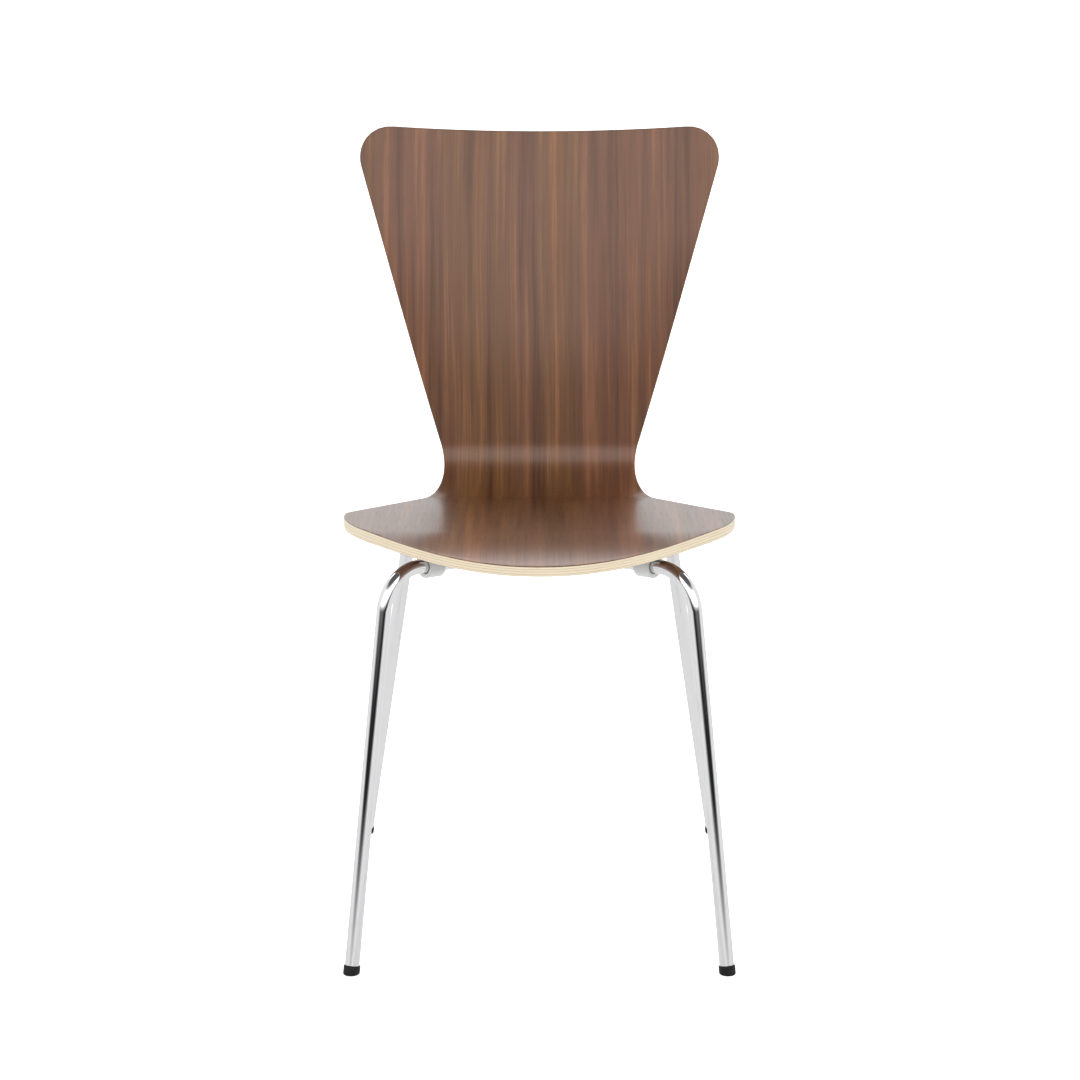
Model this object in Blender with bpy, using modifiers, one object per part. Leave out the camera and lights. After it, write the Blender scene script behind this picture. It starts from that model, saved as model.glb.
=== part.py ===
"""Stacking chair: one moulded plywood shell on a frame of two bent steel tubes.

Metres, +Z up. The chair faces -Y and stands on z = 0.
"""
import math

import bmesh
import bpy
from mathutils import Matrix, Vector

# Space left between pieces that touch
contact_gap = 0.0003

# How far a cutter reaches past what it cuts
cutter_overshoot = 0.002

# Shell: outline of the flat sheet before it is bent. Distances run from the front edge
shell_thickness = 0.0125
seat_width = 0.441
seat_front_radius = 0.2175
seat_corner_distance = 0.2297
seat_corner_radius = 0.036
waist_corner_width = 0.2032
waist_corner_past_bend = 0.0502
waist_radius = 0.1247
back_width = 0.4597
back_corner_radius = 0.0391
rim_chamfer = 0.0012
shell_steps_across = 12
shell_steps_along = 36

# Shell: side profile of its middle surface, in stretches from the front edge to the top
front_edge_height = 0.4424
front_edge_drop = math.radians(16.0)
front_roll_length = 0.112
seat_length = 0.240
seat_slope = math.radians(4.0)
seat_bend_radius = 0.0705
waist_lean = math.radians(6.3)
lower_back_length = 0.1275
lower_back_lean = math.radians(14.0)
upper_back_length = 0.2404
top_lean = math.radians(18.6)

# Shell: how far it is curled from side to side, as 1 / radius
seat_dish = 0.119
waist_curl = 0.644
back_curl = 1.61

# Leg tubes. The base frame's middle lies this far from the front edge, along the sheet
base_distance = 0.208
tube_diameter = 0.016
tube_wall = 0.0015
leg_bend_radius = 0.050
middle_bend_radius = 0.030
front_bend_spacing = 0.328
front_bend_setback = 0.148
rear_bend_spacing = 0.304
rear_bend_setback = 0.1574
front_foot_out = 0.040
front_foot_forward = 0.083
rear_foot_out = 0.0625
rear_foot_back = 0.0785

# Foot caps
cap_overhang = 0.0011
cap_height = 0.0095
cap_plug_length = 0.014
cap_round = 0.0008
cap_below_floor = 0.006

# Mounting plate, and what bolts the shell to it
plate_length = 0.160
plate_width = 0.090
plate_thickness = 0.003
plate_corner_radius = 0.014
screw_spacing_across = 0.132
screw_spacing_along = 0.060
pad_height = 0.0108
pad_radius = 0.011
pad_chamfer = 0.0012
screw_radius = 0.003
screw_head_radius = 0.006
screw_head_height = 0.0035
screw_chamfer = 0.0008
screw_reach = 0.0075
socket_width = 0.004
socket_depth = 0.002
washer_radius = 0.0075
washer_thickness = 0.0012
washer_chamfer = 0.0003
insert_radius = 0.0047
insert_length = 0.0085
insert_chamfer = 0.0004

# Spacers clipped round the tubes, just inside the leg bends
spacer_wall = 0.0047
spacer_length = 0.020
spacer_setback = 0.0618
spacer_mouth = 0.011
spacer_top_gap = 0.0007

# Plastic cover under the plate
cover_length = 0.184
cover_width = 0.112
cover_wall = 0.002
cover_corner_radius = 0.022
cover_edge_radius = 0.005
cover_top_gap = 0.003
cover_tube_gap = 0.001
cover_slot_length = 0.060

tube_radius = tube_diameter / 2
plate_top = 2 * contact_gap + pad_height
plate_bottom = plate_top + plate_thickness
tube_drop = plate_bottom + contact_gap + tube_radius


def make_collection(name, hidden=False):
    collection = bpy.data.collections.new(name)
    collection.hide_render = hidden
    bpy.context.scene.collection.children.link(collection)
    return collection


def make_material(name, colour, roughness, metallic=0.0):
    material = bpy.data.materials.new(name)
    material.use_nodes = True
    shader = material.node_tree.nodes["Principled BSDF"]
    shader.inputs["Base Color"].default_value = (*colour, 1.0)
    shader.inputs["Roughness"].default_value = roughness
    shader.inputs["Metallic"].default_value = metallic
    return material


def add_part(name, data, material, parent, matrix=None):
    """A part of the chair, shaded smooth, at its place under its parent."""
    part = bpy.data.objects.new(name, data)
    data.materials.clear()
    data.materials.append(material)
    if isinstance(data, bpy.types.Mesh):
        data.shade_smooth()
        data.set_sharp_from_angle(angle=math.radians(40))
    parts.objects.link(part)
    part.parent = parent
    part.matrix_local = matrix or Matrix()
    return part


def add_cutter(name, mesh, parent, matrix=None):
    cutter = bpy.data.objects.new(name, mesh)
    cutters.objects.link(cutter)
    cutter.hide_render = True
    cutter.display_type = "WIRE"
    cutter.parent = parent
    cutter.matrix_local = matrix or Matrix()
    return cutter


def cut(part, cutter):
    boolean = part.modifiers.new("cut " + cutter.name, "BOOLEAN")
    boolean.operation = "DIFFERENCE"
    boolean.object = cutter


def evaluated_mesh(holder):
    """The mesh that an object makes with its modifiers, its caps welded to its sides."""
    graph = bpy.context.evaluated_depsgraph_get()
    mesh = bpy.data.meshes.new_from_object(holder.evaluated_get(graph))
    work = bmesh.new()
    work.from_mesh(mesh)
    bmesh.ops.remove_doubles(work, verts=work.verts, dist=0.00001)
    work.to_mesh(mesh)
    work.free()
    return mesh


def rounded_path(corners, radii, arc_steps=8):
    """Points along straight runs between corners, with an arc of its radius at each inner corner."""
    path = [corners[0]]
    for before, corner, after, radius in zip(corners, corners[1:], corners[2:], radii):
        back = (before - corner).normalized()
        on = (after - corner).normalized()
        opening = back.angle(on)
        centre = corner + (back + on).normalized() * radius / math.sin(opening / 2)
        start = corner + back * radius / math.tan(opening / 2) - centre
        axis = start.cross(corner + on * radius / math.tan(opening / 2) - centre)
        for step in range(arc_steps + 1):
            turn = Matrix.Rotation((math.pi - opening) * step / arc_steps, 3, axis)
            path.append(centre + turn @ start)
    path.append(corners[-1])
    return path


def resample(path, steps):
    """Points at equal distances along a path."""
    lengths = [0.0]
    for start, end in zip(path, path[1:]):
        lengths.append(lengths[-1] + (end - start).length)
    points = []
    piece = 0
    for step in range(steps + 1):
        wanted = lengths[-1] * step / steps
        while piece < len(path) - 2 and lengths[piece + 1] < wanted:
            piece += 1
        share = (wanted - lengths[piece]) / (lengths[piece + 1] - lengths[piece])
        points.append(path[piece].lerp(path[piece + 1], share))
    return points


def profile_stretches():
    """The side profile as (length, angle at its start, angle at its end), angles above the horizontal."""
    upright = math.pi / 2
    bend_turn = upright - waist_lean + seat_slope
    return (
        (front_roll_length, front_edge_drop, -seat_slope),
        (seat_length, -seat_slope, -seat_slope),
        (seat_bend_radius * bend_turn, -seat_slope, upright - waist_lean),
        (lower_back_length, upright - waist_lean, upright - lower_back_lean),
        (upper_back_length, upright - lower_back_lean, upright - top_lean),
    )


def profile_at(distance):
    """Depth, height and angle of the middle surface at a distance from the front edge."""
    y, z = front_edge_y, front_edge_height
    for length, start, end in profile_stretches():
        run = min(distance, length)
        angle = start + (end - start) * run / length
        if abs(end - start) < 1e-6:
            y += run * math.cos(start)
            z += run * math.sin(start)
        else:
            radius = length / (end - start)
            y += radius * (math.sin(angle) - math.sin(start))
            z -= radius * (math.cos(angle) - math.cos(start))
        distance -= run
        if distance <= 0:
            break
    return y, z, angle


def smooth_step(value, low, high):
    share = min(max((value - low) / (high - low), 0.0), 1.0)
    return share * share * (3 - 2 * share)


def curl_at(distance):
    """Sideways curl, from the seat's dish through the waist to the back."""
    waist = smooth_step(distance, bend_start, bend_start + waist_corner_past_bend)
    back = smooth_step(distance, bend_start + waist_corner_past_bend, sheet_length - upper_back_length / 2)
    return seat_dish + (waist_curl - seat_dish) * waist + (back_curl - waist_curl) * back


def shell_point(across, distance, face):
    """Where a point of the flat sheet lies once bent. Face is 1 on the side sat on and -1 underneath.

    The thickness is laid off square to the centre line, so that the rim is cut square to the front.
    """
    y, z, angle = profile_at(distance)
    curl = curl_at(distance)
    turn = curl * across
    rise = (1 - math.cos(turn)) / curl + face * shell_thickness / 2 / math.cos(turn)
    return Vector((math.sin(turn) / curl, y - rise * math.sin(angle), z + rise * math.cos(angle)))


def seat_underside(place):
    """Height of the seat's underside over a point of the base frame's top plane."""
    under = shell_point(place.x, base_distance + place.y, -1)
    return (base_matrix.inverted() @ under).z


def sheet_sides():
    """The half outline's front, side and top edges. The front edge ends two thirds round its arc."""
    arc_steps = 18
    outline = rounded_path(
        (
            Vector((0, 0, 0)),
            Vector((seat_width / 2, 0, 0)),
            Vector((seat_width / 2, seat_corner_distance, 0)),
            Vector((waist_corner_width / 2, bend_start + waist_corner_past_bend, 0)),
            Vector((back_width / 2, sheet_length, 0)),
            Vector((0, sheet_length, 0)),
        ),
        (seat_front_radius, seat_corner_radius, waist_radius, back_corner_radius),
        arc_steps,
    )
    front_end = 1 + arc_steps * 2 // 3
    side_end = 1 + 3 * (arc_steps + 1) + arc_steps // 2
    return outline[: front_end + 1], outline[front_end : side_end + 1], outline[side_end:]


def shares_and_bulges(edge):
    """Each point's share of the edge's width, and how far it lies off the edge's chord."""
    pairs = []
    for point in edge:
        share = point.x / edge[-1].x
        pairs.append((share, point.y - edge[0].y - (edge[-1].y - edge[0].y) * share))
    return pairs


def shell_face(work, face):
    """Rows of vertices over half of one face of the shell, from the front edge to the top."""
    front, side, top = sheet_sides()
    front = shares_and_bulges(resample(front, shell_steps_across))
    side = resample(side, shell_steps_along)
    top = shares_and_bulges(resample(top, shell_steps_across)[::-1])
    rows = []
    for row in range(shell_steps_along + 1):
        along = row / shell_steps_along
        vertices = []
        for column in range(shell_steps_across + 1):
            share = front[column][0] * (1 - along) + top[column][0] * along
            bulge = front[column][1] * (1 - along) ** 3 + top[column][1] * along ** 3
            distance = sheet_length * along * (1 - share) + side[row].y * share + bulge
            vertices.append(work.verts.new(shell_point(side[row].x * share, distance, face)))
        rows.append(vertices)
    return rows


def make_shell(material, parent):
    """Two faces stretched over half the flat sheet's outline and bent, joined at the rim, then mirrored."""
    work = bmesh.new()
    upper = shell_face(work, 1)
    under = shell_face(work, -1)
    for row in range(shell_steps_along):
        for column in range(shell_steps_across):
            corners = ((row, column), (row, column + 1), (row + 1, column + 1), (row + 1, column))
            work.faces.new([upper[r][c] for r, c in corners])
            work.faces.new([under[r][c] for r, c in reversed(corners)])
    rim = [(0, column) for column in range(shell_steps_across)]
    rim += [(row, shell_steps_across) for row in range(shell_steps_along)]
    rim += [(shell_steps_along, column) for column in range(shell_steps_across, -1, -1)]
    for (row, column), (next_row, next_column) in zip(rim, rim[1:]):
        work.faces.new(
            (
                upper[row][column],
                under[row][column],
                under[next_row][next_column],
                upper[next_row][next_column],
            )
        )
    mesh = bpy.data.meshes.new("seat_shell")
    work.to_mesh(mesh)
    work.free()
    shell = add_part("seat_shell", mesh, material, parent)
    mirror = shell.modifiers.new("other half", "MIRROR")
    mirror.merge_threshold = 0.0001
    ease = shell.modifiers.new("eased rim", "BEVEL")
    ease.width = rim_chamfer
    ease.segments = 1
    ease.limit_method = "ANGLE"
    ease.angle_limit = math.radians(50)
    return shell


def make_leg_tube(name, side_y, bend_spacing, bend_setback, foot_out, foot_y, material, parent):
    """One tube: leg, bend, run to the middle under the seat, bend, run and leg. Gives its feet too."""
    run_corner = base_matrix @ Vector((bend_spacing / 2, side_y * bend_setback, -tube_drop))
    middle = base_matrix @ Vector((0, 0, -tube_drop))
    foot = Vector((run_corner.x + foot_out, run_corner.y + side_y * foot_y, 0))
    leg_axis = (run_corner - foot).normalized()
    end = foot + leg_axis * (cap_height + contact_gap)
    flip = Matrix.Diagonal((-1, 1, 1, 1))
    path = rounded_path(
        (end, run_corner, middle, flip @ run_corner, flip @ end),
        (leg_bend_radius, middle_bend_radius, leg_bend_radius),
    )
    curve = bpy.data.curves.new(name, "CURVE")
    curve.dimensions = "3D"
    curve.bevel_depth = tube_radius
    curve.bevel_resolution = 5
    spline = curve.splines.new("POLY")
    spline.points.add(len(path) - 1)
    for point, place in zip(spline.points, path):
        point.co = (*place, 1)
    holder = bpy.data.objects.new(name + "_centre_line", curve)
    cutters.objects.link(holder)
    mesh = evaluated_mesh(holder)
    bpy.data.objects.remove(holder)
    tube = add_part(name, mesh, material, parent)
    wall = tube.modifiers.new("wall", "SOLIDIFY")
    wall.thickness = tube_wall
    wall.offset = -1.0
    wall.use_even_offset = True
    feet = {"left": (flip @ foot, flip @ leg_axis), "right": (foot, leg_axis)}
    return tube, feet


def turned_mesh(name, profile, steps=16, ring=False):
    """A mesh turned about Z from (radius, height) points that run down its outer side."""
    mesh = bpy.data.meshes.new(name)
    points = [(radius, 0, height) for radius, height in profile]
    edges = [(index, index + 1) for index in range(len(points) - 1)]
    if ring:
        edges.append((len(points) - 1, 0))
    mesh.from_pydata(points, edges, [])
    holder = bpy.data.objects.new(name, mesh)
    cutters.objects.link(holder)
    screw = holder.modifiers.new("turn", "SCREW")
    screw.steps = steps
    screw.render_steps = steps
    screw.use_merge_vertices = True
    screw.merge_threshold = 0.00001
    turned = evaluated_mesh(holder)
    bpy.data.objects.remove(holder)
    return turned


def ring_mesh(name, outer, inner, top, bottom, chamfer, steps=16):
    return turned_mesh(
        name,
        (
            (outer - chamfer, top),
            (outer, top - chamfer),
            (outer, bottom + chamfer),
            (outer - chamfer, bottom),
            (inner, bottom),
            (inner, top),
        ),
        steps,
        ring=True,
    )


def rod_mesh(name, radius, bottom, top, sides):
    """A plain round or hexagonal bar, used to cut holes."""
    work = bmesh.new()
    bmesh.ops.create_cone(
        work, cap_ends=True, segments=sides, radius1=radius, radius2=radius, depth=top - bottom
    )
    bmesh.ops.translate(work, vec=(0, 0, (top + bottom) / 2), verts=work.verts)
    mesh = bpy.data.meshes.new(name)
    work.to_mesh(mesh)
    work.free()
    return mesh


def flat_mesh(name, outlines, thickness):
    """A flat outline, with holes where it has more than one, of a thickness about its plane."""
    curve = bpy.data.curves.new(name, "CURVE")
    curve.dimensions = "2D"
    curve.fill_mode = "BOTH"
    curve.extrude = thickness / 2
    for outline in outlines:
        spline = curve.splines.new("POLY")
        spline.points.add(len(outline) - 1)
        spline.use_cyclic_u = True
        for point, place in zip(spline.points, outline):
            point.co = (place[0], place[1], 0, 1)
    holder = bpy.data.objects.new(name, curve)
    cutters.objects.link(holder)
    mesh = evaluated_mesh(holder)
    bpy.data.objects.remove(holder)
    return mesh


def arc(centre, radius, start, end, steps):
    angles = [start + (end - start) * step / steps for step in range(steps + 1)]
    return [(centre[0] + radius * math.cos(a), centre[1] + radius * math.sin(a)) for a in angles]


def rounded_rectangle(length, width, radius, steps=5):
    points = []
    for quarter, (x, y) in enumerate(((1, 1), (-1, 1), (-1, -1), (1, -1))):
        centre = (x * (length / 2 - radius), y * (width / 2 - radius))
        start = quarter * math.pi / 2
        points += arc(centre, radius, start, start + math.pi / 2, steps)
    return points


def screw_places():
    """The four screws, by name, in the base frame's plane."""
    places = {}
    for depth_name, y in (("front", -1), ("rear", 1)):
        for side_name, x in (("left", -1), ("right", 1)):
            name = depth_name + "_" + side_name
            places[name] = Vector((x * screw_spacing_across / 2, y * screw_spacing_along / 2, 0))
    return places


def run_directions():
    """Each tube run's direction out from the middle, by name, and the length to its leg bend."""
    runs = {}
    for depth_name, y, spacing, setback in (
        ("front", -1, front_bend_spacing, front_bend_setback),
        ("rear", 1, rear_bend_spacing, rear_bend_setback),
    ):
        for side_name, x in (("left", -1), ("right", 1)):
            corner = Vector((x * spacing / 2, y * setback, 0))
            runs[depth_name + "_" + side_name] = (corner.normalized(), corner.length)
    return runs


def run_matrix(direction, distance):
    """Turns an outline's plane square to a tube run, its Y up, at a distance out from the middle."""
    up = Vector((0, 0, 1))
    across = up.cross(direction)
    turn = Matrix((across, up, direction)).transposed().to_4x4()
    return Matrix.Translation(direction * distance + Vector((0, 0, -tube_drop))) @ turn


def make_mounting_plate(material, parent):
    holes = [
        arc(place, screw_radius + contact_gap, 0, 2 * math.pi * 15 / 16, 15)
        for place in screw_places().values()
    ]
    outline = rounded_rectangle(plate_length, plate_width, plate_corner_radius)
    mesh = flat_mesh("mounting_plate", [outline] + holes, plate_thickness)
    middle = Matrix.Translation((0, 0, -(plate_top + plate_bottom) / 2))
    add_part("mounting_plate", mesh, material, parent, middle)


def make_screw_mesh():
    """A pan-head screw that points up, with a hexagon socket in its head."""
    bottom = -(plate_bottom + 2 * contact_gap + washer_thickness + screw_head_height)
    head_top = bottom + screw_head_height
    mesh = turned_mesh(
        "mounting_screw",
        (
            (0, screw_reach),
            (screw_radius - screw_chamfer, screw_reach),
            (screw_radius, screw_reach - screw_chamfer),
            (screw_radius, head_top),
            (screw_head_radius, head_top),
            (screw_head_radius, bottom + screw_chamfer),
            (screw_head_radius - screw_chamfer, bottom),
            (0, bottom),
        ),
    )
    holder = bpy.data.objects.new("mounting_screw_blank", mesh)
    cutters.objects.link(holder)
    socket = rod_mesh(
        "screw_socket", socket_width / math.sqrt(3), bottom - cutter_overshoot, bottom + socket_depth, 6
    )
    tool = add_cutter("screw_socket", socket, None)
    cut(holder, tool)
    screw_mesh = evaluated_mesh(holder)
    bpy.data.objects.remove(holder)
    bpy.data.objects.remove(tool)
    return screw_mesh


def make_fasteners(shell, parent):
    """At each screw: an insert in the shell, a pad, a screw up through the plate and its washer."""
    rise = seat_underside(Vector((screw_spacing_across / 2, 0, 0)))
    pad_rise = seat_underside(Vector((screw_spacing_across / 2 - pad_radius, 0, 0)))
    hole = screw_radius + contact_gap
    insert_mesh = ring_mesh("threaded_insert", insert_radius, hole, insert_length, 0, insert_chamfer)
    pad_mesh = ring_mesh(
        "shell_pad", pad_radius, hole, pad_rise - contact_gap, contact_gap - plate_top, pad_chamfer, 20
    )
    washer_top = -plate_bottom - contact_gap
    washer_mesh = ring_mesh(
        "screw_washer", washer_radius, hole, washer_top, washer_top - washer_thickness, washer_chamfer
    )
    screw_mesh = make_screw_mesh()
    hole_mesh = rod_mesh(
        "insert_hole", insert_radius + contact_gap, -cutter_overshoot, insert_length + contact_gap, 24
    )
    for name, place in screw_places().items():
        at = Matrix.Translation(place)
        in_shell = Matrix.Translation(place + Vector((0, 0, rise)))
        cut(shell, add_cutter("insert_hole_" + name, hole_mesh, parent, in_shell))
        add_part("threaded_insert_" + name, insert_mesh, zinc_steel, parent, in_shell)
        add_part("shell_pad_" + name, pad_mesh, black_rubber, parent, at)
        add_part("mounting_screw_" + name, screw_mesh, zinc_steel, parent, at)
        add_part("screw_washer_" + name, washer_mesh, zinc_steel, parent, at)


def make_spacers(material, parent):
    """A clip round each tube run, open upwards, whose two lips reach the shell's underside."""
    inner = tube_radius + contact_gap
    outer = inner + spacer_wall
    top = tube_drop - spacer_top_gap
    mouth_angle = math.acos(spacer_mouth / 2 / inner)
    section = [(-outer, top)]
    section += arc((0, 0), outer, math.pi, 2 * math.pi, 12)
    section += [(outer, top), (spacer_mouth / 2, top)]
    section += arc((0, 0), inner, mouth_angle, -math.pi - mouth_angle, 14)
    section.append((-spacer_mouth / 2, top))
    for name, (direction, reach) in run_directions().items():
        mesh = flat_mesh("stacking_spacer_" + name, [section], spacer_length)
        place = run_matrix(direction, reach - spacer_setback)
        mesh.transform(place)
        for vertex in mesh.vertices:
            if vertex.co.z > -2 * spacer_top_gap:
                vertex.co.z += seat_underside(vertex.co)
        add_part("stacking_spacer_" + name, mesh, material, parent)


def make_base_cover(material, parent):
    """A shallow tray under the plate, with a slot for each tube run."""
    floor = tube_drop + tube_radius + cover_tube_gap + cover_wall
    height = floor - cover_top_gap
    work = bmesh.new()
    bmesh.ops.create_cube(work, size=1.0)
    bmesh.ops.scale(work, vec=(cover_length, cover_width, height), verts=work.verts)
    bmesh.ops.translate(work, vec=(0, 0, -floor + height / 2), verts=work.verts)
    lid = [face for face in work.faces if face.normal.z > 0.9]
    bmesh.ops.delete(work, geom=lid, context="FACES_ONLY")
    uprights = [edge for edge in work.edges if abs(edge.verts[0].co.z - edge.verts[1].co.z) > height / 2]
    bmesh.ops.bevel(work, geom=uprights, offset=cover_corner_radius, segments=5, affect="EDGES", profile=0.5)
    base_edges = [
        edge
        for edge in work.edges
        if edge.is_manifold and all(v.co.z < -floor + 1e-5 for v in edge.verts)
    ]
    bmesh.ops.bevel(work, geom=base_edges, offset=cover_edge_radius, segments=2, affect="EDGES", profile=0.5)
    mesh = bpy.data.meshes.new("base_cover")
    work.to_mesh(mesh)
    work.free()
    cover = add_part("base_cover", mesh, material, parent)
    wall = cover.modifiers.new("wall", "SOLIDIFY")
    wall.thickness = cover_wall
    wall.offset = -1.0
    wall.use_even_offset = True
    radius = tube_radius + cover_tube_gap
    slot = [(-radius, tube_drop)] + arc((0, 0), radius, math.pi, 2 * math.pi, 8) + [(radius, tube_drop)]
    for name, (direction, _) in run_directions().items():
        reach = min(
            cover_length / 2 / abs(direction.x),
            cover_width / 2 / abs(direction.y),
        )
        slot_mesh = flat_mesh("cover_slot_" + name, [slot], cover_slot_length)
        cut(cover, add_cutter("cover_slot_" + name, slot_mesh, parent, run_matrix(direction, reach)))


def level_bottom(mesh, placed):
    """Cuts a placed mesh level at the floor, closes the cut with a flat face and eases its edge."""
    to_local = placed.inverted()
    work = bmesh.new()
    work.from_mesh(mesh)
    sliced = bmesh.ops.bisect_plane(
        work,
        geom=work.verts[:] + work.edges[:] + work.faces[:],
        plane_co=to_local @ Vector((0, 0, 0)),
        plane_no=to_local.to_3x3() @ Vector((0, 0, 1)),
        clear_inner=True,
    )
    rim = [item for item in sliced["geom_cut"] if isinstance(item, bmesh.types.BMEdge)]
    bmesh.ops.holes_fill(work, edges=rim, sides=0)
    bmesh.ops.bevel(work, geom=rim, offset=cap_round, segments=2, affect="EDGES", profile=0.5)
    bmesh.ops.recalc_face_normals(work, faces=work.faces)
    work.to_mesh(mesh)
    work.free()


def make_foot_caps(feet, material, parent):
    """A turned cap on each leg: a plug inside the tube and a collar under it, cut level with the floor."""
    plug_radius = tube_radius - tube_wall - contact_gap
    collar_radius = tube_radius + cap_overhang
    plug_top = cap_height + cap_plug_length
    profile = (
        (0, plug_top),
        (plug_radius - cap_round, plug_top),
        (plug_radius, plug_top - cap_round),
        (plug_radius, cap_height),
        (collar_radius - cap_round, cap_height),
        (collar_radius, cap_height - cap_round),
        (collar_radius, -cap_below_floor),
        (0, -cap_below_floor),
    )
    for name, (foot, leg_axis) in feet.items():
        lean = leg_axis.to_track_quat("Z", "Y").to_matrix().to_4x4()
        placed = Matrix.Translation(foot) @ lean
        mesh = turned_mesh("foot_cap_" + name, profile, 20)
        level_bottom(mesh, placed)
        add_part("foot_cap_" + name, mesh, material, parent, placed)


def centre_over_origin(root):
    """Moves the chair along Y so that its box is centred over the origin."""
    bpy.context.view_layer.update()
    graph = bpy.context.evaluated_depsgraph_get()
    depths = []
    for part in parts.objects:
        if part.type == "MESH":
            evaluated = part.evaluated_get(graph)
            mesh = evaluated.to_mesh()
            depths += [(evaluated.matrix_world @ vertex.co).y for vertex in mesh.vertices]
            evaluated.to_mesh_clear()
    root.location.y -= (min(depths) + max(depths)) / 2


for leftover in list(bpy.data.objects):
    bpy.data.objects.remove(leftover)

parts = make_collection("stacking_chair")
cutters = make_collection("cutters", hidden=True)

walnut_plywood = make_material("walnut_plywood", (0.22, 0.13, 0.09), 0.35)
chrome = make_material("chrome", (0.80, 0.80, 0.80), 0.08, 1.0)
zinc_steel = make_material("zinc_plated_steel", (0.55, 0.56, 0.58), 0.35, 1.0)
black_rubber = make_material("black_rubber", (0.02, 0.02, 0.02), 0.8)
black_plastic = make_material("black_plastic", (0.025, 0.025, 0.025), 0.5)
painted_steel = make_material("black_painted_steel", (0.03, 0.03, 0.03), 0.45)
white_plastic = make_material("white_plastic", (0.80, 0.82, 0.80), 0.45)

bend_start = front_roll_length + seat_length
sheet_length = sum(length for length, _, _ in profile_stretches())
front_edge_y = 0.0
front_edge_y = -profile_at(base_distance)[0]

root = bpy.data.objects.new("chair_origin", None)
parts.objects.link(root)
base_y, base_z, _ = profile_at(base_distance)
up_from_seat = Vector((0, math.sin(seat_slope), math.cos(seat_slope)))
base_point = Vector((0, base_y, base_z)) - up_from_seat * shell_thickness / 2
base_matrix = Matrix.Translation(base_point) @ Matrix.Rotation(-seat_slope, 4, "X")
base_frame = bpy.data.objects.new("base_frame", None)
parts.objects.link(base_frame)
base_frame.parent = root
base_frame.matrix_local = base_matrix

shell = make_shell(walnut_plywood, root)
feet = {}
for side, side_y, spacing, setback, out, reach in (
    ("front", -1, front_bend_spacing, front_bend_setback, front_foot_out, front_foot_forward),
    ("rear", 1, rear_bend_spacing, rear_bend_setback, rear_foot_out, rear_foot_back),
):
    tube, tube_feet = make_leg_tube(side + "_leg_tube", side_y, spacing, setback, out, reach, chrome, root)
    for hand, foot in tube_feet.items():
        feet[side + "_" + hand] = foot
make_mounting_plate(painted_steel, base_frame)
make_fasteners(shell, base_frame)
make_spacers(white_plastic, base_frame)
make_base_cover(black_plastic, base_frame)
make_foot_caps(feet, black_plastic, root)
centre_over_origin(root)
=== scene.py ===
import math

import bmesh
import bpy
from mathutils import Matrix, Vector


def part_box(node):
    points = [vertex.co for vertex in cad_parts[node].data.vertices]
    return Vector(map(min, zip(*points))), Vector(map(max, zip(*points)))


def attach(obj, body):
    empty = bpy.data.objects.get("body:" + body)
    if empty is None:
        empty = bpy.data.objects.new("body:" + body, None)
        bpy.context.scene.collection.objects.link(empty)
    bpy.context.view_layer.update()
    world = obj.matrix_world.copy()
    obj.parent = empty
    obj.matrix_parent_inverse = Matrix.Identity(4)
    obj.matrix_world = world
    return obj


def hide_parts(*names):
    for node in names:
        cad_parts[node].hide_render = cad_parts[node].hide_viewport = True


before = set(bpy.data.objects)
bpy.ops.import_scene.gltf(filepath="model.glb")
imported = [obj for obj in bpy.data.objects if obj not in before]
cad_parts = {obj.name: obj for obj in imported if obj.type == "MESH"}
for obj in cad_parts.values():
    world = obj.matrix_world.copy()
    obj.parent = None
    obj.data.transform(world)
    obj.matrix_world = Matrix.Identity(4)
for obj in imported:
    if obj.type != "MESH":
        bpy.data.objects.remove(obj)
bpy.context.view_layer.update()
print("frame loaded:", len(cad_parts), "nodes")


# ---- mesh helpers, in metres

def objectFrom(name, work, materials=()):
    mesh = bpy.data.meshes.new(name)
    work.to_mesh(mesh)
    work.free()
    for material in materials:
        mesh.materials.append(material)
    mesh.shade_smooth()
    made = bpy.data.objects.new(name, mesh)
    bpy.context.scene.collection.objects.link(made)
    return made


def applyModifiers(made):
    graph = bpy.context.evaluated_depsgraph_get()
    mesh = bpy.data.meshes.new_from_object(made.evaluated_get(graph))
    made.modifiers.clear()
    made.data = mesh


def roundedPath(corners, radii, arcSteps):
    path = [corners[0]]
    for before, corner, after, radius in zip(corners, corners[1:], corners[2:], radii):
        back = (before - corner).normalized()
        on = (after - corner).normalized()
        opening = back.angle(on)
        centre = corner + (back + on).normalized() * radius / math.sin(opening / 2)
        start = corner + back * radius / math.tan(opening / 2) - centre
        axis = start.cross(corner + on * radius / math.tan(opening / 2) - centre)
        for step in range(arcSteps + 1):
            turn = Matrix.Rotation((math.pi - opening) * step / arcSteps, 3, axis)
            path.append(centre + turn @ start)
    path.append(corners[-1])
    return path


def resample(path, steps):
    lengths = [0.0]
    for start, end in zip(path, path[1:]):
        lengths.append(lengths[-1] + (end - start).length)
    points = []
    piece = 0
    for step in range(steps + 1):
        wanted = lengths[-1] * step / steps
        while piece < len(path) - 2 and lengths[piece + 1] < wanted:
            piece += 1
        share = (wanted - lengths[piece]) / (lengths[piece + 1] - lengths[piece])
        points.append(path[piece].lerp(path[piece + 1], share))
    return points


def bridge(work, ring, nextRing, closed=True):
    count = len(ring)
    for index in range(count if closed else count - 1):
        after = (index + 1) % count
        work.faces.new((ring[index], ring[after], nextRing[after], nextRing[index]))


def arcPoints(radius, start, end, steps, centre=(0.0, 0.0)):
    angles = [start + (end - start) * step / steps for step in range(steps + 1)]
    return [(centre[0] + radius * math.cos(a), centre[1] + radius * math.sin(a)) for a in angles]


# ---- node helpers

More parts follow.
